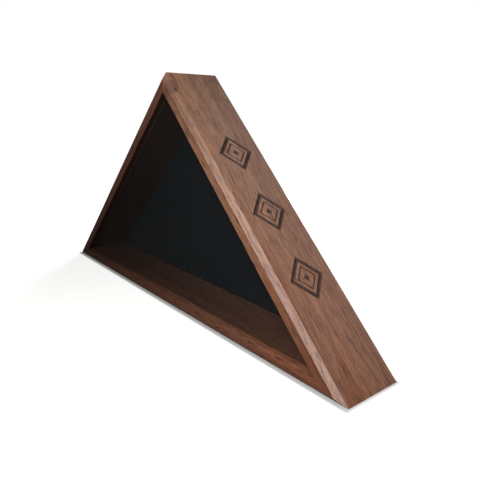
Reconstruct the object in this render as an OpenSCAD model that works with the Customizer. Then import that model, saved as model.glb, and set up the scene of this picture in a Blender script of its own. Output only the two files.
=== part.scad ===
// Folded flag display case: a right-angled triangle of mitred walnut boards with a
// glass front in a groove and a felt-faced back panel that lifts out of a rabbet.
// Millimetres. +X right, +Y towards the back, +Z up. The origin is the centre of the
// base board's underside, half way through the depth of the boards.

/* [Case] */
// Width across the base, outside the boards
base_w = 660; // [480:5:800]
// Depth of the boards from front face to back face
case_d = 90; // [75:1:130]
// Thickness of each board
board_t = 18; // [18:0.5:24]
// Bevel on the outer front edges
edge_bevel = 6; // [3:0.5:8]
// Small bevel on the outer back edges
back_ease = 1.5; // [0.5:0.5:2]
// Small bevel on the inner front edges
lip_ease = 0.6; // [0.3:0.1:1.5]

/* [Glass] */
// Thickness of the glass
glass_t = 3; // [2:0.5:4]
// Distance from the front face to the glass groove
glass_setback = 8; // [8:0.5:12]
// Depth of the glass groove in each board
groove_deep = 6; // [5:0.5:8]
// Distance that the edges of the glass reach into the groove
glass_bite = 5; // [3:0.5:5]
// Gap between the glass and each wall of its groove
glass_clear = 0.1; // [0.05:0.05:0.3]
// Length of each rubber block under the glass
block_l = 20; // [10:1:30]

/* [Back panel] */
// Thickness of the panel board
panel_t = 6; // [4.5:0.5:8]
// Thickness of the felt on the panel's face
felt_t = 1; // [0.5:0.25:2]
// Depth of the rabbet, from the back face to the shoulder that the panel meets
rabbet_deep = 11; // [10:0.5:16]
// Width of the rabbet's shoulder
rabbet_w = 6; // [5:0.5:7]
// Gap round the edge of the panel
panel_clear = 0.5; // [0.3:0.1:1]
// Gap between the panel and the shoulder when it is shut
seat_clear = 0.05; // [0.02:0.01:0.2]
// Gap between the felt and the inside of the boards
felt_clear = 0.5; // [0.3:0.1:1]

/* [Magnets] */
// Diameter of the magnets and of the steel discs that face them
magnet_d = 4; // [3:0.5:4]
// Thickness of each magnet
magnet_t = 3; // [2:0.5:5]
// Thickness of each steel disc
disc_t = 1.5; // [1:0.25:2]
// Number of magnets along each board
magnets_per_side = 2; // [1:1:4]
// Distance that each magnet and disc sits below the surface round it
magnet_sink = 0.1; // [0.05:0.05:0.3]

/* [Mitre tongues] */
// Thickness of each tongue
tongue_t = 4; // [3:0.5:5]
// Width of each tongue, across the joint
tongue_w = 10; // [8:0.5:11]
// Length of each tongue, along the depth of the case
tongue_l = 56; // [30:1:56]
// Gap at the ends and edges of each tongue
tongue_gap = 0.5; // [0.2:0.1:1]

/* [Carved ornaments] */
// Number of ornaments on the right board
motif_count = 3; // [1:1:4]
// Distance between the centres of the ornaments
motif_pitch = 92.5; // [70:0.5:100]
// Length of an ornament along the board
motif_l = 58; // [30:1:62]
// Width of an ornament across the board
motif_w = 54; // [30:1:60]
// Length of the inner lozenge, along the board
inner_l = 33; // [24:1:38]
// Width of the outer lozenge's cuts
broad_cut = 5.5; // [3:0.5:8]
// Width of the inner lozenge's cuts
fine_cut = 2.4; // [1.5:0.1:4]
// Width of the chip in the middle, between its parallel sides
chip_cut = 7; // [4:0.5:8]
// Width of the chip's flat floor
chip_floor = 1; // [0.5:0.1:2]

/* [Hangers] */
// Distance from the apex, along the outer face, to each ring's pivot
hanger_from_apex = 150; // [60:5:250]
// Diameter of the ring's wire
wire_d = 1.5; // [1.4:0.1:2]
// Inside width of the ring
ring_w = 6; // [6:0.5:7.5]
// Length of the ring's straight arms
ring_arm = 3.5; // [1:0.1:5]
// Radius of the ring's two corners, to the middle of the wire
ring_bend = 1.2; // [1.1:0.1:2]
// Width of the strap
strap_w = 5; // [4:0.5:5.5]
// Thickness of the strap
strap_t = 0.7; // [0.6:0.1:1.2]
// Gap between the ring's bar and the eye that it turns in
eye_fit = 0.08; // [0.05:0.01:0.1]
// Gap between the folded ring and the strap
ring_clear = 0.3; // [0.3:0.1:0.5]
// Gap between the folded ring and the head of the strap's screw
head_clear = 0.75; // [0.5:0.05:2]
// Gap between the ring and the back panel's edge as the panel slides past
side_clear = 0.3; // [0.3:0.1:1]

/* [Screws] */
// Diameter of the screw heads
head_d = 5; // [4.5:0.1:6]
// Height of the screw heads
head_h = 1.6; // [1.2:0.1:1.8]
// Diameter of the screw shanks
shank_d = 2.5; // [2:0.1:3]
// Length of a hanger screw below its head; its hole in the board is this deep
hanger_screw_l = 12; // [8:1:20]
// Length of the tab screw below its head
tab_screw_l = 6.4; // [4.5:0.1:7]
// Gap between a screw, magnet or disc and its hole
hole_fit = 0.05; // [0.03:0.01:0.1]

/* [Pull tab] */
// Width of the tab
tab_w = 16; // [12:1:25]
// Length of the tab
tab_l = 46; // [30:1:70]
// Thickness of the tab
tab_t = 1.6; // [1:0.1:2]
// Height of the tab's lower end above the inside of the base board
tab_up = 8; // [4:1:40]
// Outside diameter of the tab's washer
washer_d = 9; // [8:0.5:12]
// Thickness of the tab's washer
washer_t = 0.8; // [0.5:0.1:1]

/* [Wall bumpers] */
// Diameter of each bumper
bumper_d = 9; // [6:0.5:10]
// Height of each bumper
bumper_h = 5; // [4.8:0.1:8]
// Distance from each corner of the base to its bumper
bumper_in = 75; // [40:5:160]

/* [Hidden] */
$fn = 64;

// A folded flag is a right-angled triangle, so the sides slope at half a right angle.
slope = 45;
half_corner = slope / 2;
case_h = base_w / 2;
side_len = case_h / sin(slope);
front_y = -case_d / 2;
back_y = case_d / 2;

groove_w = glass_t + 2 * glass_clear;
land_w = board_t - rabbet_w;
edge_d = land_w + panel_clear;
magnet_line = board_t - rabbet_w / 2;
shoulder_y = back_y - rabbet_deep;
panel_y = shoulder_y + seat_clear;
panel_back_y = panel_y + panel_t;

wire_r = wire_d / 2;
ring_r = ring_w / 2 + wire_r;
ring_reach = ring_arm + ring_bend + ring_r + wire_r;
eye_z = strap_t + ring_clear + wire_r;
eye_bore_r = wire_r + eye_fit;
eye_r = eye_bore_r + strap_t;
strap_hole_x = ring_reach + head_clear + head_d / 2;
hanger_q = edge_d - side_clear - ring_r - wire_r;

// Far enough past a face for a cut to clear it.
past = 1;

// Place of a tongue along its mitre, as a share of the joint: nearer to the inner end,
// where there is more wood.
tongue_share = 0.56;

// Shares of a screw head's height and width: its straight rim, its flat top, the floor of
// its cross slot, and the slot's width and length. The point narrows to a share of the shank.
rim_share = 0.45;
top_share = 0.7;
slot_floor_share = 0.4;
slot_w_share = 0.16;
slot_l_share = 0.62;
point_share = 0.2;

// Radius of a bumper's dome, as a share of the bumper's diameter.
dome_share = 0.8;

walnut = "#7d5842";
steel = "#b9bcc0";
brass = "#b08d4a";
black = "#17181b";

// ---------- shared outlines and places ----------

// The case's triangle in X and Z, moved inwards by d from the outer faces.
function inset(d) = [
    [-(case_h - d / tan(half_corner)), d],
    [case_h - d / tan(half_corner), d],
    [0, case_h - d / cos(slope)]
];

// A triangular sheet: inset by d, with its front at y and thickness t.
module sheet(d, y, t) {
    translate([0, y + t, 0]) rotate([90, 0, 0]) linear_extrude(t) polygon(inset(d));
}

// Section of every board: x is the distance from the front face, y from the outer face.
module board_section() {
    polygon([
        [edge_bevel, 0], [case_d - back_ease, 0], [case_d, back_ease],
        [case_d, land_w], [case_d - rabbet_deep, land_w], [case_d - rabbet_deep, board_t],
        [glass_setback + groove_w, board_t],
        [glass_setback + groove_w, board_t - groove_deep],
        [glass_setback, board_t - groove_deep],
        [glass_setback, board_t], [lip_ease, board_t],
        [0, board_t - lip_ease], [0, edge_bevel]
    ]);
}

// A board of uncut length along X, centred, with its outer face down at z = 0.
module board_blank() {
    translate([-base_w / 2, front_y, 0]) rotate([90, 0, 90])
        linear_extrude(base_w) board_section();
}

// A block that trims a board to its two mitres. Its outline has the board's two outer
// corners and the middle of the case, where the mitre planes meet.
module mitre_cut(outline) {
    translate([0, back_y + past, 0]) rotate([90, 0, 0])
        linear_extrude(case_d + 2 * past) polygon(outline);
}

incentre = [0, case_h * tan(half_corner)];
left_corner = [-case_h, 0];
right_corner = [case_h, 0];
apex = [0, case_h];

// Frame of each mitre: X runs inwards along the joint, from the outer corner.
module at_mitre(corner) {
    if (corner == "apex")
        translate([0, 0, case_h]) rotate([0, 90, 0]) children();
    else if (corner == "right")
        translate([case_h, 0, 0]) rotate([0, 180 + half_corner, 0]) children();
    else
        mirror([1, 0, 0]) at_mitre("right") children();
}

function tongue_x(corner) =
    tongue_share * board_t / (corner == "apex" ? cos(slope) : sin(half_corner));

module tongue(corner, gap = 0) {
    at_mitre(corner) translate([tongue_x(corner), 0, 0])
        cube([tongue_t, tongue_l + 2 * gap, tongue_w + 2 * gap], center = true);
}

// Frame on the right board's outer face: X down the slope, Y to the back, Z outwards.
module on_right_face(along, depth) {
    translate([along * cos(slope), front_y + depth, case_h - along * sin(slope)])
        rotate([0, slope, 0]) children();
}

// Frame on the right board's back face: X down the slope, Y inwards, Z out of the back.
module on_right_back(along, inwards) {
    translate([0, back_y, case_h]) rotate([0, slope, 0]) rotate([-90, 0, 0])
        translate([along, inwards, 0]) children();
}

// ---------- carved ornaments ----------

motif_angle = atan2(motif_w, motif_l);

// A lozenge-shaped block with sloping sides, from z = low to z = high. Its sides lie at
// half_low from its middle at the bottom, and at half_high at the top.
module tapered_lozenge(half_low, low, half_high, high) {
    intersection_for (turn = [-1, 1])
        rotate([0, 0, turn * motif_angle]) translate([-motif_l, 0, 0])
            rotate([90, 0, 90]) linear_extrude(2 * motif_l)
                polygon([[-half_low, low], [half_low, low], [half_high, high], [-half_high, high]]);
}

// A V-cut of the given width round a lozenge of that length, on the plane z = 0.
module v_lozenge(length, width) {
    deep = width / 2;
    middle = length / 2 * sin(motif_angle) - deep;
    difference() {
        tapered_lozenge(middle, -deep, middle + deep + past, past);
        tapered_lozenge(middle + past, -deep - past, middle - deep - past, past);
    }
}

// A plain ornament: a broad lozenge, a fine one inside it, and a four-sided chip in the
// middle, all with parallel sides.
module lozenge_motif() {
    chip_deep = (chip_cut - chip_floor) / 2;
    v_lozenge(motif_l, broad_cut);
    v_lozenge(inner_l, fine_cut);
    tapered_lozenge(chip_floor / 2, -chip_deep, chip_cut / 2 + past, past);
}

// The ornaments are centred along the board, and across the flat of its outer face.
module carved_motifs() {
    for (i = [0 : motif_count - 1])
        on_right_face(side_len / 2 + (i - (motif_count - 1) / 2) * motif_pitch,
                      (edge_bevel + case_d - back_ease) / 2)
            lozenge_motif();
}

// ---------- frame ----------

// Places of the magnets along one board, as distances from its middle.
function magnet_places(len) =
    [for (i = [0 : magnets_per_side - 1]) len * ((i + 0.5) / magnets_per_side - 0.5)];

// Puts its children at each magnet of the base board: origin on the shoulder, Z to the back.
module at_base_magnets() {
    clear_len = base_w - 2 * magnet_line / tan(half_corner);
    for (x = magnet_places(clear_len))
        translate([x, shoulder_y, magnet_line]) rotate([-90, 0, 0]) children();
}

// The same for the right board.
module at_right_magnets() {
    corner = magnet_line / tan(half_corner);
    top = magnet_line * tan(slope);
    clear_len = side_len - corner - top;
    for (s = magnet_places(clear_len))
        on_right_back(top + clear_len / 2 + s, magnet_line)
            translate([0, 0, -rabbet_deep]) children();
}

module at_all_magnets() {
    at_base_magnets() children();
    at_right_magnets() children();
    mirror([1, 0, 0]) at_right_magnets() children();
}

module magnet_pocket() {
    translate([0, 0, -magnet_t - magnet_sink])
        cylinder(h = magnet_t + magnet_sink + past, d = magnet_d + 2 * hole_fit);
}

module hanger_pilot() {
    on_right_back(hanger_from_apex + strap_hole_x, hanger_q)
        translate([0, 0, -hanger_screw_l]) cylinder(h = hanger_screw_l + past,
            d = shank_d + 2 * hole_fit);
}

// A right-hand side board with its joints and hardware holes, but no carving.
module plain_side() {
    difference() {
        intersection() {
            translate([case_h / 2, 0, case_h / 2]) rotate([0, 180 + slope, 0]) board_blank();
            mitre_cut([apex, right_corner, incentre]);
        }
        tongue("apex", tongue_gap);
        tongue("right", tongue_gap);
        at_right_magnets() magnet_pocket();
        hanger_pilot();
    }
}

module left_side_board() {
    color(walnut) mirror([1, 0, 0]) plain_side();
}

module right_side_board() {
    color(walnut) difference() {
        plain_side();
        carved_motifs();
    }
}

module base_board() {
    color(walnut) difference() {
        intersection() {
            board_blank();
            mitre_cut([left_corner, right_corner, incentre]);
        }
        tongue("left", tongue_gap);
        tongue("right", tongue_gap);
        at_base_magnets() magnet_pocket();
    }
}

module apex_tongue() { color("#c9a878") tongue("apex"); }
module left_corner_tongue() { color("#c9a878") tongue("left"); }
module right_corner_tongue() { color("#c9a878") tongue("right"); }

module frame_magnets() {
    color(steel) at_all_magnets() translate([0, 0, -magnet_t - magnet_sink])
        cylinder(h = magnet_t, d = magnet_d);
}

// ---------- glass ----------

module front_glass() {
    color("#c8dde0", 0.3) sheet(board_t - glass_bite,
        front_y + glass_setback + glass_clear, glass_t);
}

// Two blocks that carry the glass on the bottom of the base board's groove.
module glass_setting_blocks() {
    color(black) for (side = [-1, 1])
        translate([side * base_w / 4 - block_l / 2,
                   front_y + glass_setback + glass_clear, board_t - groove_deep])
            cube([block_l, glass_t, groove_deep - glass_bite]);
}

// ---------- back panel ----------

// Origin of the tab's screw: on the panel's back face, Z to the back, Y down.
module at_tab_screw() {
    translate([0, panel_back_y, board_t + tab_up + tab_w / 2]) rotate([-90, 0, 0]) children();
}

module back_panel() {
    color("#4a3526") difference() {
        sheet(edge_d, panel_y, panel_t);
        at_all_magnets() translate([0, 0, seat_clear - past])
            cylinder(h = disc_t + magnet_sink + past, d = magnet_d + 2 * hole_fit);
        at_tab_screw() translate([0, 0, -(tab_screw_l - tab_t - washer_t)])
            cylinder(h = tab_screw_l, d = shank_d + 2 * hole_fit);
    }
}

module back_felt() {
    color(black) sheet(board_t + felt_clear, panel_y - felt_t, felt_t);
}

module panel_discs() {
    color(steel) at_all_magnets() translate([0, 0, seat_clear + magnet_sink])
        cylinder(h = disc_t, d = magnet_d);
}

module pull_tab() {
    color("#5b3a22") at_tab_screw() linear_extrude(tab_t) difference() {
        union() {
            circle(d = tab_w);
            translate([-tab_w / 2, -(tab_l - tab_w)]) square([tab_w, tab_l - tab_w]);
            translate([0, -(tab_l - tab_w)]) circle(d = tab_w);
        }
        circle(d = shank_d + 2 * hole_fit);
    }
}

module pull_tab_washer() {
    color(brass) at_tab_screw() translate([0, 0, tab_t]) difference() {
        cylinder(h = washer_t, d = washer_d);
        translate([0, 0, -past]) cylinder(h = washer_t + 2 * past, d = shank_d + 2 * hole_fit);
    }
}

// ---------- screws ----------

// A cross-slotted pan-head screw: Z out of the head, with the head's seat at z = 0.
module pan_screw(len) {
    slot_w = head_d * slot_w_share;
    slot_l = head_d * slot_l_share;
    tip = shank_d;
    difference() {
        union() {
            cylinder(h = head_h * rim_share, d = head_d);
            translate([0, 0, head_h * rim_share])
                cylinder(h = head_h * (1 - rim_share), d1 = head_d, d2 = head_d * top_share);
            translate([0, 0, tip - len]) cylinder(h = len - tip, d = shank_d);
            translate([0, 0, -len]) cylinder(h = tip, d1 = shank_d * point_share, d2 = shank_d);
        }
        for (turn = [0, 90]) rotate([0, 0, turn])
            translate([-slot_l / 2, -slot_w / 2, head_h * slot_floor_share])
                cube([slot_l, slot_w, head_h]);
    }
}

module pull_tab_screw() {
    color(brass) at_tab_screw() translate([0, 0, tab_t + washer_t]) pan_screw(tab_screw_l);
}

// ---------- hangers ----------

// Strap with a rolled eye at x = 0; it lies on z = 0 and runs towards +X.
module hanger_strap() {
    difference() {
        union() {
            translate([0, -strap_w / 2, 0]) cube([strap_hole_x, strap_w, strap_t]);
            translate([strap_hole_x, 0, 0]) cylinder(h = strap_t, d = strap_w);
            translate([0, -strap_w / 2, 0]) cube([eye_r, strap_w, eye_z]);
            translate([0, strap_w / 2, eye_z]) rotate([90, 0, 0])
                cylinder(h = strap_w, r = eye_r);
        }
        translate([0, strap_w / 2 + past, eye_z]) rotate([90, 0, 0])
            cylinder(h = strap_w + 2 * past, r = eye_bore_r);
        translate([strap_hole_x, 0, -past])
            cylinder(h = strap_t + 2 * past, d = shank_d + 2 * hole_fit);
    }
}

// D-shaped ring lying over its strap, with its straight bar in the eye.
module hanger_ring() {
    bar = 2 * (ring_r - ring_bend);
    translate([0, 0, eye_z]) {
        translate([0, bar / 2, 0]) rotate([90, 0, 0]) cylinder(h = bar, r = wire_r);
        for (side = [0, 1]) mirror([0, side, 0]) {
            translate([ring_bend, bar / 2, 0]) rotate([0, 0, 90])
                rotate_extrude(angle = 90) translate([ring_bend, 0]) circle(r = wire_r);
            translate([ring_bend, ring_r, 0]) rotate([0, 90, 0])
                cylinder(h = ring_arm, r = wire_r);
        }
        translate([ring_bend + ring_arm, 0, 0]) rotate([0, 0, -90])
            rotate_extrude(angle = 180) translate([ring_r, 0]) circle(r = wire_r);
    }
}

module right_hanger_strap() {
    color(steel) on_right_back(hanger_from_apex, hanger_q) hanger_strap();
}

module left_hanger_strap() {
    color(steel) mirror([1, 0, 0]) on_right_back(hanger_from_apex, hanger_q) hanger_strap();
}

module right_hanger_ring() {
    color(steel) on_right_back(hanger_from_apex, hanger_q) hanger_ring();
}

module left_hanger_ring() {
    color(steel) mirror([1, 0, 0]) on_right_back(hanger_from_apex, hanger_q) hanger_ring();
}

module hanger_screws() {
    color(steel) for (side = [0, 1]) mirror([side, 0, 0])
        on_right_back(hanger_from_apex + strap_hole_x, hanger_q)
            translate([0, 0, strap_t]) pan_screw(hanger_screw_l);
}

// ---------- bumpers ----------

// Domed rubber buttons that hold the base off the wall when the case hangs.
module wall_bumpers() {
    dome_r = bumper_d * dome_share;
    color(black) for (side = [-1, 1])
        translate([side * (case_h - bumper_in), back_y, (back_ease + land_w) / 2])
            rotate([-90, 0, 0])
            intersection() {
                cylinder(h = bumper_h, d = bumper_d);
                translate([0, 0, bumper_h - dome_r]) sphere(dome_r);
            }
}

left_side_board();
right_side_board();
base_board();
apex_tongue();
left_corner_tongue();
right_corner_tongue();
front_glass();
glass_setting_blocks();
frame_magnets();
back_panel();
back_felt();
panel_discs();
pull_tab();
pull_tab_washer();
pull_tab_screw();
left_hanger_strap();
right_hanger_strap();
left_hanger_ring();
right_hanger_ring();
hanger_screws();
wall_bumpers();
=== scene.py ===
"""Looks of the folded flag display case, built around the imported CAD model.

Walnut boards, glass, felt lining, leather tab and steel hangers. Metres, in the row frame:
+X right, +Y to the back, +Z up, with the floor at z = 0.

The boards' tone, tint, gloss and stain stand in for the uneven light in the photo, so they
aren't plain wood colours. The floor and background are white to the camera only.
"""

import math

import bpy
from mathutils import Matrix, Vector, noise


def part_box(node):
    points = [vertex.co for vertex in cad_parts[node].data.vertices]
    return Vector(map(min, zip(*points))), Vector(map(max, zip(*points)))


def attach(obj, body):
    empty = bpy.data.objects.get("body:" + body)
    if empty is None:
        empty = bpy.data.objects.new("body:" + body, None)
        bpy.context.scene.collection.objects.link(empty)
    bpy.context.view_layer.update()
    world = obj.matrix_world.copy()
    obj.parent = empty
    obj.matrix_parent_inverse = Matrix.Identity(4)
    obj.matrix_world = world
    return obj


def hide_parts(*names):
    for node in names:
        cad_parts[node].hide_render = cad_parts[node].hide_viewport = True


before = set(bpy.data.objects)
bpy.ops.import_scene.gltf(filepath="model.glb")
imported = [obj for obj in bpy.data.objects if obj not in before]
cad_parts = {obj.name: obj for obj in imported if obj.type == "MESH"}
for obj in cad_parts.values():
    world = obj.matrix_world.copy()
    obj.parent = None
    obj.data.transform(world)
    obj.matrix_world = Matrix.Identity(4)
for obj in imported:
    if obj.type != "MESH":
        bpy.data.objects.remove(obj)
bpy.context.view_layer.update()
MM = 0.001


# ---------------------------------------------------------------- measures from the frame

base_lo, base_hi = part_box("base_board")
side_lo, side_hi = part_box("right_side_board")
FRONT_Y = base_lo.y
BACK_Y = base_hi.y
BOARD_T = base_hi.z - base_lo.z
APEX_Z = side_hi.z
SLOPE = math.radians(45)
REAR_BEVEL = 1.5 * MM

# The camera that was fitted to the photo: metres and degrees.
CAMERA_PLACE = Vector((0.5709, -0.3939, 0.2810))
CAMERA_AZIMUTH = 52.31
CAMERA_PITCH = 15.17
CAMERA_ROLL = 0.76
SENSOR_WIDTH = 36
LENS = 35.68
LENS_SHIFT_X = 0.052
CLIP_START = 0.02

KEY_POWER = 6.8
TOP_POWER = 4.0
BACK_POWER = 12.0
FILL = 0.05
# Near-black colour painted on the boards' inner faces as shade inside the case.
INSIDE_PAINTED_SHADE = (0.020, 0.0095, 0.006)
# Painted light and shade on the boards: their colour is multiplied by WARM_END more and more from x =
# WARM_FROM_X to WARM_TO_X.
WARM_END = (1.05, 0.90, 0.80)
WARM_FROM_X = 0.06
WARM_TO_X = 0.28

# The painted contact shadow: how far it reaches, and how bright the floor is at the case.
CONTACT_REACH = 6 * MM
CONTACT_DARKEST = 0.1

# Sockets of Blender's Mix node when it mixes colours.
MIX_A = 6
MIX_B = 7
MIX_RESULT = 2


# ---------------------------------------------------------------- camera, light and stage


def look_from(place, azimuth, pitch, roll):
    """Rotation of a camera that looks azimuth degrees left of +Y and pitch degrees down."""
    a, p = math.radians(azimuth), math.radians(pitch)
    forward = Vector((-math.sin(a) * math.cos(p), math.cos(a) * math.cos(p), -math.sin(p)))
    turn = forward.to_track_quat("-Z", "Y").to_matrix()
    turn = turn @ Matrix.Rotation(math.radians(roll), 3, "Z")
    return Matrix.Translation(place) @ turn.to_4x4()


def make_camera():
    camera = bpy.data.objects.new("camera", bpy.data.cameras.new("camera"))
    bpy.context.scene.collection.objects.link(camera)
    camera.data.sensor_width = SENSOR_WIDTH
    camera.data.lens = LENS
    camera.data.shift_x = LENS_SHIFT_X
    camera.data.clip_start = CLIP_START
    camera.matrix_world = look_from(CAMERA_PLACE, CAMERA_AZIMUTH, CAMERA_PITCH, CAMERA_ROLL)
    bpy.context.scene.camera = camera


def area_light(name, place, target, long, wide, power):
    """An oval softbox aimed at a point, with its long side along the right board's slope."""
    light = bpy.data.lights.new(name, "AREA")
    light.shape = "ELLIPSE"
    light.size = long
    light.size_y = wide
    light.energy = power
    lamp = bpy.data.objects.new(name, light)
    back = (Vector(place) - Vector(target)).normalized()
    side = Vector((1, 0, -1))
    side = (side - back * side.dot(back)).normalized()
    turn = Matrix((side, back.cross(side), back)).transposed()
    lamp.matrix_world = Matrix.Translation(place) @ turn.to_4x4()
    bpy.context.scene.collection.objects.link(lamp)


def make_lights():
    area_light("key_softbox", (0.42, -0.44, 0.41), (0.15, -0.04, 0.12), 0.80, 0.30, KEY_POWER)
    area_light("top_softbox", (0.46, 0.72, 0.80), (0.16, 0.0, 0.17), 1.6, 0.6, TOP_POWER)
    area_light("back_softbox", (-0.60, 0.85, 0.40), (0.0, 0.0, 0.15), 0.5, 0.5, BACK_POWER)
    world = bpy.data.worlds.new("studio")
    world.use_nodes = True
    tree = world.node_tree
    fill = tree.nodes["Background"]
    fill.inputs["Color"].default_value = (1, 1, 1, 1)
    fill.inputs["Strength"].default_value = FILL
    white = tree.nodes.new("ShaderNodeBackground")
    white.inputs["Color"].default_value = (1, 1, 1, 1)
    seen = tree.nodes.new("ShaderNodeLightPath").outputs["Is Camera Ray"]
    both = tree.nodes.new("ShaderNodeMixShader")
    tree.links.new(seen, both.inputs[0])
    tree.links.new(fill.outputs[0], both.inputs[1])
    tree.links.new(white.outputs[0], both.inputs[2])
    tree.links.new(both.outputs[0], tree.nodes["World Output"].inputs["Surface"])
    bpy.context.scene.world = world


def studio_paper():
    """Paper that the camera sees as white, fading into the background.

    Every other ray sees dim paper, so that little light is thrown back on the case.
    """
    f = Shader("studio_paper")
    tree = f.tree
    apart = f.node("VectorMath", {0: f.place()}, output=1, operation="LENGTH")
    fade = f.ramp(apart, 0.5, 1.7)
    bright = f.maths("MULTIPLY", f.ramp(apart, 0.25, 0.60, 0.72, 0.98), contact_shade(f))
    dim = f.node("BsdfDiffuse", {"Color": (0.12, 0.12, 0.12)})
    lit = f.node("BsdfDiffuse", {"Color": (0.40, 0.40, 0.39)})
    glow = f.node("Emission", {"Color": (1.0, 1.0, 0.99), "Strength": bright})
    shown = f.node("AddShader", {0: lit, 1: glow})
    clear = f.node("BsdfTransparent", {})
    seen = tree.nodes.new("ShaderNodeLightPath").outputs["Is Camera Ray"]
    paper = f.node("MixShader", {0: seen, 1: dim, 2: shown})
    faded = f.node("MixShader", {0: fade, 1: paper, 2: clear})
    tree.links.new(faded, tree.nodes["Material Output"].inputs["Surface"])
    return f.material


def contact_shade(f):
    """A painted contact shadow: less than 1 on the floor close to the case's footprint."""
    split = f.node("SeparateXYZ", {"Vector": f.place()})
    x, y = split.node.outputs[0], split.node.outputs[1]
    beyond_x = f.maths("SUBTRACT", f.maths("ABSOLUTE", x), base_hi.x)
    past_x = f.maths("MAXIMUM", beyond_x, 0.0)
    beyond_y = f.maths("SUBTRACT", f.maths("ABSOLUTE", y), BACK_Y - REAR_BEVEL)
    past_y = f.maths("MAXIMUM", beyond_y, 0.0)
    apart = f.maths("SQRT", f.maths("ADD", f.maths("MULTIPLY", past_x, past_x),
                                    f.maths("MULTIPLY", past_y, past_y)))
    return f.ramp(apart, 0.0, CONTACT_REACH, CONTACT_DARKEST, 1.0)


def make_stage():
    """A flat round floor, pale and plain."""
    rim_r, turns = 3.0, 96
    rim = [(rim_r * math.cos(math.tau * k / turns), rim_r * math.sin(math.tau * k / turns), 0.0)
           for k in range(turns)]
    stage = mesh_object("studio_floor", rim, [tuple(range(turns))])
    shade(stage, studio_paper())


# ---------------------------------------------------------------- mesh and node helpers


def mesh_object(name, points, faces):
    mesh = bpy.data.meshes.new(name)
    mesh.from_pydata([tuple(p) for p in points], [], faces)
    mesh.validate()
    mesh.polygons.foreach_set("use_smooth", [True] * len(mesh.polygons))
    piece = bpy.data.objects.new(name, mesh)
    bpy.context.scene.collection.objects.link(piece)
    return piece


def shade(piece, material):
    piece.data.materials.clear()
    piece.data.materials.append(material)


class Shader:
    """A material and short ways to add nodes to it."""

    def __init__(self, name):
        self.material = bpy.data.materials.new(name)
        self.material.use_nodes = True
        self.tree = self.material.node_tree
        self.surface = self.tree.nodes["Principled BSDF"]

    def put(self, socket, value):
        if isinstance(value, bpy.types.NodeSocket):
            self.tree.links.new(value, socket)
        elif isinstance(value, tuple) and len(value) == 3 and socket.type == "RGBA":
            socket.default_value = (*value, 1)
        else:
            socket.default_value = value

    def set(self, **values):
        for name, value in values.items():
            self.put(self.surface.inputs[name.replace("_", " ").title().replace("Ior", "IOR")], value)

    def node(self, kind, inputs, output=0, **settings):
        made = self.tree.nodes.new("ShaderNode" + kind)
        for name, value in settings.items():
            setattr(made, name, value)
        for name, value in inputs.items():
            self.put(made.inputs[name], value)
        return made.outputs[output]

    def place(self):
        return self.tree.nodes.new("ShaderNodeTexCoord").outputs["Object"]

    def scaled(self, vector, scale, shift=(0, 0, 0)):
        return self.node("Mapping", {"Vector": vector, "Scale": scale, "Location": shift})

    def noise(self, vector, scale, detail=4.0, rough=0.55, distort=0.0):
        return self.node("TexNoise", {"Vector": vector, "Scale": scale, "Detail": detail,
                                      "Roughness": rough, "Distortion": distort})

    def ramp(self, value, low, high, to_low=0.0, to_high=1.0):
        return self.node("MapRange", {"Value": value, "From Min": low, "From Max": high,
                                      "To Min": to_low, "To Max": to_high},
                         interpolation_type="SMOOTHSTEP")

    def maths(self, operation, a, b=0.0):
        return self.node("Math", {0: a, 1: b}, operation=operation)

    def mix(self, share, a, b, blend="MIX"):
        made = self.tree.nodes.new("ShaderNodeMix")
        made.data_type = "RGBA"
        made.blend_type = blend
        self.put(made.inputs["Factor"], share)
        self.put(made.inputs[MIX_A], a)
        self.put(made.inputs[MIX_B], b)
        return made.outputs[MIX_RESULT]

    def bump(self, height, distance, strength=1.0, under=None):
        inputs = {"Height": height, "Distance": distance, "Strength": strength}
        if under is not None:
            inputs["Normal"] = under
        return self.node("Bump", inputs)


# ---------------------------------------------------------------- walnut


def inside(w, board, face, start):
    """1 on a board's inner face, and 0 elsewhere or nearer the front than start.

    face is the height of the board's outer face.
    """
    split = w.node("SeparateXYZ", {"Vector": board})
    y, z = split.node.outputs[1], split.node.outputs[2]
    below = w.maths("ABSOLUTE", w.maths("SUBTRACT", z, face))
    deep = w.ramp(below, BOARD_T - 0.8 * MM, BOARD_T - 0.3 * MM)
    return w.maths("MULTIPLY", deep, w.ramp(y, FRONT_Y + start, FRONT_Y + start + 2 * MM))


def grain_place(w, board, seed):
    """Board coordinates shifted by the seed and bent a little, as real grain is."""
    grain = w.scaled(board, (1, 1, 1), (seed * 1.7, seed * 0.31, seed * 0.13))
    sway = w.noise(w.scaled(grain, (3.0, 9, 9)), 1.0, 2.0)
    offset = w.node("CombineXYZ", {"X": 0.0, "Y": w.maths("MULTIPLY", sway, 0.016),
                                   "Z": w.maths("MULTIPLY", sway, 0.008)})
    return w.node("VectorMath", {0: grain, 1: offset}, operation="ADD")


def grain_colour(w, bent):
    """The wood's colour, with its fibre noise and the mask of its pores."""
    broad = w.noise(w.scaled(bent, (1.4, 60, 40)), 1.0, 3.0)
    rings = w.noise(w.scaled(bent, (3.5, 300, 180)), 1.0, 4.0, 0.6)
    fibre = w.noise(w.scaled(bent, (36, 640, 640)), 1.0, 4.0, 0.65)
    pores = w.noise(w.scaled(bent, (60, 620, 620)), 1.0, 2.0, 0.5)
    dark, middle, pale = (0.074, 0.029, 0.015), (0.156, 0.069, 0.036), (0.228, 0.113, 0.065)
    colour = w.mix(w.ramp(broad, 0.36, 0.64), middle, pale)
    colour = w.mix(w.ramp(rings, 0.50, 0.70, 0.0, 0.42), colour, dark)
    colour = w.mix(w.ramp(rings, 0.30, 0.47, 0.5, 0.0), colour, pale)
    colour = w.mix(w.ramp(fibre, 0.47, 0.64, 0.0, 0.62), colour, dark)
    pore_mask = w.ramp(pores, 0.56, 0.67)
    colour = w.mix(w.maths("MULTIPLY", pore_mask, 0.7), colour, (0.040, 0.016, 0.009))
    return colour, fibre, pore_mask


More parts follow.
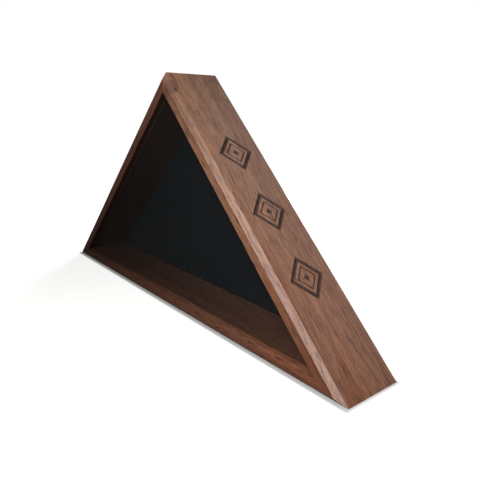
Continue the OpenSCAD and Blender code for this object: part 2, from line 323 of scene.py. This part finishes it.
def photo_tone(w, here, board, colour, tone, far_end, rear, tint):
    """Scales and tints a board's colour to stand in for the photo's uneven light."""
    along = w.node("SeparateXYZ", {"Vector": board})
    level = w.ramp(along, -0.30, 0.20, tone * far_end, tone)
    depth = along.node.outputs[1]
    level = w.maths("MULTIPLY", level, w.ramp(depth, FRONT_Y + 7 * MM, BACK_Y, 1.0, rear))
    grey = w.node("CombineColor", {"Red": level, "Green": level, "Blue": level})
    colour = w.mix(1.0, colour, grey, "MULTIPLY")
    warm = w.ramp(w.node("SeparateXYZ", {"Vector": here}), WARM_FROM_X, WARM_TO_X)
    cast = w.mix(warm, tint, tuple(a * b for a, b in zip(tint, WARM_END)))
    return w.mix(1.0, colour, cast, "MULTIPLY")


def walnut(name, slope, seed, tone=1.0, far_end=1.0, tarnish_and_painted_shade=0.0, face=0.0, marks=False,
           tint=(1, 1, 1), gloss=0.5, rear=1.0, painted_shade_start=7 * MM):
    """Oiled walnut with its grain along a board that slopes by that angle.

    tone scales the whole board's colour, and far_end scales it again at the board's -X end.
    stain is the share of the painted shade, a near-black colour, on the board's inner face, and
    tint a colour cast. rear scales the colour at the board's back edge, and painted_shade_start is
    how far behind the front the painted shade begins. tone, far_end, tint and rear are painted light
    and shade as well.
    """
    w = Shader(name)
    here = w.place()
    board = w.node("VectorRotate", {"Vector": here, "Axis": (0, 1, 0), "Angle": slope},
                   rotation_type="AXIS_ANGLE")
    colour, fibre, pore_mask = grain_colour(w, grain_place(w, board, seed))
    colour = photo_tone(w, here, board, colour, tone, far_end, rear, tint)
    # Painted shade: the inner face behind the front is mixed toward a near-black colour.
    inside_painted_shade = w.maths("MULTIPLY", inside(w, board, face, painted_shade_start), tarnish_and_painted_shade)
    colour = w.mix(inside_painted_shade, colour, INSIDE_PAINTED_SHADE)
    roughness = w.ramp(fibre, 0.3, 0.7, 0.44, 0.56)
    height = w.maths("SUBTRACT", w.maths("MULTIPLY", fibre, 0.5), pore_mask)
    normal = w.bump(height, 0.00014, 0.6)
    if marks:
        colour = foot_shade(w, here, colour)
        colour = knot(w, board, colour)
        colour, roughness = burn(w, here, board, colour, roughness)
    w.set(base_color=colour, roughness=roughness, normal=normal, specular_ior_level=gloss)
    return w.material


def foot_shade(w, here, colour):
    """Painted shade: the right board's front edge gets browner and darker toward its foot."""
    split = w.node("SeparateXYZ", {"Vector": here})
    x, y = split.node.outputs[0], split.node.outputs[1]
    front = w.ramp(y, FRONT_Y + 0.2 * MM, FRONT_Y + 0.9 * MM, 1.0, 0.0)
    share = w.maths("MULTIPLY", front, w.ramp(x, 0.17, 0.30))
    return w.mix(share, colour, w.mix(1.0, colour, (0.62, 0.51, 0.45), "MULTIPLY"))


def knot(w, board, colour):
    """A small dark knot near the apex, beside the front bevel of the right board."""
    along = 0.032 - APEX_Z / math.sqrt(2)
    across = FRONT_Y + 0.0065
    split = w.node("SeparateXYZ", {"Vector": board})
    x, y = split.node.outputs[0], split.node.outputs[1]

    def spot(long_r, wide_r, drift):
        dx = w.maths("MULTIPLY", w.maths("SUBTRACT", x, along - drift), 1 / long_r)
        dy = w.maths("MULTIPLY", w.maths("SUBTRACT", y, across - drift * 0.25), 1 / wide_r)
        square = w.maths("ADD", w.maths("MULTIPLY", dx, dx), w.maths("MULTIPLY", dy, dy))
        return w.ramp(square, 0.15, 1.0, 1.0, 0.0)

    colour = w.mix(w.maths("MULTIPLY", spot(0.015, 0.0100, 0.007), 0.8), colour,
                   (0.088, 0.032, 0.018))
    return w.mix(w.maths("MULTIPLY", spot(0.0052, 0.0022, 0.0), 0.8), colour,
                 (0.030, 0.013, 0.009))


def burn(w, here, board, colour, roughness):
    """Darkens whatever lies below the outer face of the right board, in its carved strip."""
    split = w.node("SeparateXYZ", {"Vector": here})
    x, y, z = (split.node.outputs[i] for i in range(3))
    short_of_apex = w.maths("SUBTRACT", APEX_Z, w.maths("ADD", x, z))
    depth = w.maths("MULTIPLY", short_of_apex, math.cos(SLOPE))
    below = w.ramp(depth, 0.15 * MM, 0.6 * MM)
    above = w.ramp(depth, 5 * MM, 6 * MM, 1.0, 0.0)
    strip = w.ramp(w.maths("ABSOLUTE", y), 31 * MM, 33 * MM, 1.0, 0.0)
    mask = w.maths("MULTIPLY", w.maths("MULTIPLY", below, above), strip)
    char = w.noise(w.scaled(board, (90, 260, 260)), 1.0, 3.0)
    burnt = w.mix(w.ramp(char, 0.35, 0.7), (0.015, 0.0055, 0.003), (0.042, 0.015, 0.008))
    colour = w.mix(mask, colour, burnt)
    return colour, w.maths("ADD", roughness, w.maths("MULTIPLY", mask, 0.22))


# ---------------------------------------------------------------- other materials


def glass():
    g = Shader("case_glass")
    smear = g.noise(g.scaled(g.place(), (14, 14, 22)), 1.0, 3.0)
    g.set(base_color=(0.02, 0.024, 0.023), roughness=g.ramp(smear, 0.4, 0.7, 0.02, 0.07),
          alpha=0.10)
    return g.material


def felt():
    f = Shader("black_wool_felt")
    here = f.place()
    mottle = f.noise(f.scaled(here, (24, 24, 24)), 1.0, 4.0)
    tufts = f.noise(f.scaled(here, (1100, 1100, 1100)), 1.0, 3.0, 0.6, 1.2)
    lint = f.noise(f.scaled(here, (3600, 3600, 3600)), 1.0, 3.0, 0.65, 0.8)
    colour = f.mix(f.ramp(mottle, 0.3, 0.7), (0.0027, 0.0029, 0.0046), (0.0038, 0.0041, 0.0062))
    colour = f.mix(f.ramp(lint, 0.55, 0.8, 0.0, 0.5), colour, (0.009, 0.010, 0.013))
    height = f.maths("ADD", lint, f.maths("MULTIPLY", tufts, 0.6))
    f.set(base_color=colour, roughness=0.95, normal=f.bump(height, 0.00008, 0.4),
          specular_ior_level=0.08, sheen_weight=0.03, sheen_roughness=0.5)
    return f.material


def hardboard():
    h = Shader("stained_hardboard")
    here = h.place()
    mottle = h.noise(h.scaled(here, (26, 26, 26)), 1.0, 5.0)
    chips = h.noise(h.scaled(here, (420, 420, 260)), 1.0, 4.0, 0.65, 0.8)
    colour = h.mix(h.ramp(mottle, 0.3, 0.7), (0.118, 0.070, 0.043), (0.140, 0.085, 0.053))
    colour = h.mix(h.ramp(chips, 0.52, 0.75, 0.0, 0.55), colour, (0.215, 0.145, 0.096))
    h.set(base_color=colour, roughness=h.ramp(chips, 0.3, 0.7, 0.55, 0.72),
          normal=h.bump(chips, 0.0002, 0.5))
    return h.material


def metal(name, colour, roughness, tarnish_and_painted_shade):
    m = Shader(name)
    here = m.place()
    clouds = m.noise(m.scaled(here, (260, 260, 260)), 1.0, 4.0)
    scratches = m.noise(m.scaled(here, (300, 2600, 5200)), 1.0, 3.0)
    m.set(base_color=m.mix(m.ramp(clouds, 0.45, 0.75, 0.0, 0.55), colour, tarnish_and_painted_shade), metallic=1.0,
          roughness=m.ramp(clouds, 0.3, 0.7, roughness, roughness + 0.16),
          normal=m.bump(scratches, 0.00002, 0.35))
    return m.material


def rubber():
    r = Shader("black_rubber")
    grit = r.noise(r.scaled(r.place(), (1500, 1500, 1500)), 1.0, 3.0)
    r.set(base_color=r.mix(r.ramp(grit, 0.3, 0.7), (0.012, 0.012, 0.012), (0.022, 0.022, 0.021)),
          roughness=r.ramp(grit, 0.3, 0.7, 0.45, 0.62), normal=r.bump(grit, 0.00004, 0.4))
    return r.material


def leather():
    s = Shader("waxed_leather")
    here = s.place()
    cells = s.node("TexVoronoi", {"Vector": here, "Scale": 1150.0}, feature="DISTANCE_TO_EDGE")
    wear = s.noise(s.scaled(here, (120, 120, 120)), 1.0, 4.0)
    crease = s.ramp(cells, 0.0, 0.16)
    colour = s.mix(s.ramp(wear, 0.35, 0.7), (0.085, 0.036, 0.016), (0.165, 0.078, 0.036))
    colour = s.mix(s.maths("MULTIPLY", s.maths("SUBTRACT", 1.0, crease), 0.6), colour,
                   (0.03, 0.012, 0.006))
    s.set(base_color=colour, roughness=s.ramp(wear, 0.3, 0.7, 0.42, 0.6),
          normal=s.bump(crease, 0.00009, 0.6))
    return s.material


def thread():
    t = Shader("waxed_thread")
    ply = t.noise(t.scaled(t.place(), (2400, 2400, 2400)), 1.0, 2.0)
    t.set(base_color=t.mix(ply, (0.33, 0.22, 0.12), (0.52, 0.39, 0.25)), roughness=0.7,
          normal=t.bump(ply, 0.00005, 0.5))
    return t.material


# ---------------------------------------------------------------- pieces made here


def soften(node, width, angle=30):
    """Rounds a CAD piece's sharp edges a little, so that they catch the light."""
    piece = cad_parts[node]
    weld = piece.modifiers.new("weld", "WELD")
    weld.merge_threshold = 1e-6
    bevel = piece.modifiers.new("soften", "BEVEL")
    bevel.width = width
    bevel.segments = 2
    bevel.limit_method = "ANGLE"
    bevel.angle_limit = math.radians(angle)
    bevel.harden_normals = True


def make_felt(material):
    """The felt lining: a triangular sheet with a rolled cut edge and a slight wave."""
    lo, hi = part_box("back_felt")
    rows = 72
    edge = 1.2 * MM
    wave_height = 0.06 * MM
    wave_scale = 26
    sunk = 0.08 * MM
    thick = hi.y - lo.y
    height = hi.z - lo.z
    points, faces = [], []

    def add_side(at_front):
        first = len(points)
        for row in range(rows + 1):
            up = row / rows
            half = (hi.x - lo.x) / 2 * (1 - up)
            for k in range(rows - row + 1):
                across = 0 if row == rows else 2 * k / (rows - row) - 1
                x, z = half * across, lo.z + height * up
                near = min(z - lo.z, (height - (z - lo.z) - abs(x)) * math.cos(SLOPE))
                roll = max(0.0, 1 - near / edge) ** 2
                spot = Vector((x * wave_scale, z * wave_scale, 3.1))
                wave = wave_height * noise.noise(spot)
                sink = thick * 0.15 * roll + sunk + wave
                points.append((x, lo.y + sink if at_front else hi.y, z))
        return first

    def index(first, row, k):
        return first + sum(rows - r + 1 for r in range(row)) + k

    front, back = add_side(True), add_side(False)
    for row in range(rows):
        for k in range(rows - row):
            a, b, c = index(front, row, k), index(front, row, k + 1), index(front, row + 1, k)
            faces.append((a, b, c))
            if k < rows - row - 1:
                faces.append((b, index(front, row + 1, k + 1), c))
    faces += [tuple(i - front + back for i in reversed(f)) for f in list(faces)]
    bottom = [index(front, 0, k) for k in range(rows + 1)]
    right = [index(front, row, rows - row) for row in range(rows + 1)]
    left = [index(front, row, 0) for row in range(rows, -1, -1)]
    for run in (bottom, right, left):
        for a, b in zip(run, run[1:]):
            faces.append((b, a, a - front + back, b - front + back))
    piece = mesh_object("felt_lining", points, faces)
    piece.data.set_sharp_from_angle(angle=math.radians(40))
    shade(piece, material)
    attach(piece, "back_cover")
    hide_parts("back_felt")


def tab_half_width(s, length, half):
    """Half the tab's width at distance s from its end; both ends are round."""
    near = min(s, length - s)
    return half if near >= half else math.sqrt(max(0.0, half * half - (half - near) ** 2))


def make_tab(material, thread_material):
    """The leather tab: round ends, rolled edges, a slight lift at its free end, and stitches."""
    lo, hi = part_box("pull_tab")
    length, half, thick = hi.z - lo.z, (hi.x - lo.x) / 2, hi.y - lo.y
    lift = 1.3 * MM
    stations, ring = 44, 20

    def lifted(s):
        free = max(0.0, (s / length - 0.35) / 0.65)
        return lift * free * free

    points, faces = [], []
    for i in range(stations + 1):
        s = length * (1 - math.cos(math.pi * i / stations)) / 2
        width = max(tab_half_width(s, length, half), 0.15 * MM)
        for k in range(ring):
            a = math.tau * (k + 0.5) / ring
            c, d = math.cos(a), math.sin(a)
            x = width * math.copysign(abs(c) ** 0.3, c)
            y = thick / 2 * math.copysign(abs(d) ** 0.3, d)
            points.append((x, lo.y + thick / 2 + y + lifted(s), lo.z + s))
    for i in range(stations):
        for k in range(ring):
            after = (k + 1) % ring
            low, high = i * ring, (i + 1) * ring
            faces.append((low + k, low + after, high + after, high + k))
    faces.append(tuple(range(ring - 1, -1, -1)))
    faces.append(tuple(stations * ring + k for k in range(ring)))
    tab = mesh_object("leather_tab", points, faces)
    shade(tab, material)
    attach(tab, "back_cover")
    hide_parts("pull_tab")
    make_stitches(lo, length, half, thick, lifted, thread_material)


def make_stitches(lo, length, half, thick, lifted, material):
    """A row of short stitches just inside the tab's edge, on the side that shows."""
    inset, pitch, stitch, r = 2.0 * MM, 3.1 * MM, 2.1 * MM, 0.28 * MM
    inner, straight = half - inset, length - 2 * half
    path_length = 2 * straight + math.tau * inner
    count = int(path_length / pitch)
    points, faces = [], []

    def at(t):
        t %= path_length
        if t < straight:
            return inner, half + t, 0.0, 1.0
        t -= straight
        if t < math.pi * inner:
            a = t / inner
            return (inner * math.cos(a), length - half + inner * math.sin(a),
                    -math.sin(a), math.cos(a))
        t -= math.pi * inner
        if t < straight:
            return -inner, length - half - t, 0.0, -1.0
        a = (t - straight) / inner
        return -inner * math.cos(a), half - inner * math.sin(a), math.sin(a), -math.cos(a)

    for n in range(count):
        x, s, dx, ds = at(path_length * n / count)
        top = lo.y + thick + lifted(s) - 0.05 * MM
        first = len(points)
        rings, sides = 7, 8
        for i in range(rings):
            along = (i / (rings - 1) - 0.5) * stitch
            size = r * math.sqrt(max(0.06, 1 - (2 * i / (rings - 1) - 1) ** 2))
            for k in range(sides):
                a = math.tau * k / sides
                side, out = size * math.cos(a), size * 0.8 * math.sin(a)
                points.append((x + dx * along + ds * side, top + out,
                               lo.z + s + ds * along - dx * side))
        for i in range(rings - 1):
            for k in range(sides):
                a, b = first + i * sides, first + (i + 1) * sides
                after = (k + 1) % sides
                faces.append((a + k, b + k, b + after, a + after))
        faces.append(tuple(first + k for k in range(sides)))
        last = first + (rings - 1) * sides
        faces.append(tuple(last + k for k in range(sides - 1, -1, -1)))
    stitches = mesh_object("tab_stitches", points, faces)
    shade(stitches, material)
    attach(stitches, "back_cover")


# ---------------------------------------------------------------- the whole case


def finish_cad_nodes():
    zinc = metal("zinc_plate", (0.58, 0.59, 0.60), 0.28, (0.40, 0.41, 0.42))
    nickel = metal("nickel_plate", (0.66, 0.64, 0.60), 0.16, (0.50, 0.48, 0.44))
    brass = metal("satin_brass", (0.62, 0.42, 0.16), 0.26, (0.36, 0.22, 0.08))
    black_rubber = rubber()
    leg_face = APEX_Z * math.cos(SLOPE)
    ply = walnut("tongue_birch", 0.0, 7.0, tone=2.2)
    # Painted light and shade: each board's tone, far_end, tint and rear below, and the near-black
    # share on its inner face.
    looks = {
        "left_side_board": walnut("walnut_left", SLOPE, 1.0, 0.47, 0.62, 0.96, leg_face,
                                  tint=(1.0, 0.86, 1.0), gloss=0.18, rear=2.0, painted_shade_start=0.0),
        "right_side_board": walnut("walnut_right", -SLOPE, 2.0, 1.0, 1.0, 0.6, leg_face,
                                   marks=True),
        "base_board": walnut("walnut_base", 0.0, 3.0, 0.72, 0.44, 0.50,
                             tint=(1.0, 0.90, 0.96), gloss=0.18),
        "apex_tongue": ply, "left_corner_tongue": ply, "right_corner_tongue": ply,
        "front_glass": glass(),
        "glass_setting_blocks": black_rubber, "wall_bumpers": black_rubber,
        "back_panel": hardboard(),
        "frame_magnets": nickel,
        "panel_discs": zinc, "hanger_screws": zinc,
        "left_hanger_strap": zinc, "right_hanger_strap": zinc,
        "left_hanger_ring": zinc, "right_hanger_ring": zinc,
        "pull_tab_washer": brass, "pull_tab_screw": brass,
    }
    for node, material in looks.items():
        shade(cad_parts[node], material)
    for node in ("left_side_board", "right_side_board", "base_board"):
        soften(node, 0.45 * MM)
    soften("front_glass", 0.2 * MM)
    soften("back_panel", 0.4 * MM)
    for node in ("left_hanger_strap", "right_hanger_strap", "hanger_screws",
                 "pull_tab_screw", "pull_tab_washer"):
        soften(node, 0.12 * MM, angle=40)


bpy.context.scene.view_settings.view_transform = "Standard"
make_camera()
make_lights()
make_stage()
finish_cad_nodes()
make_felt(felt())
make_tab(leather(), thread())
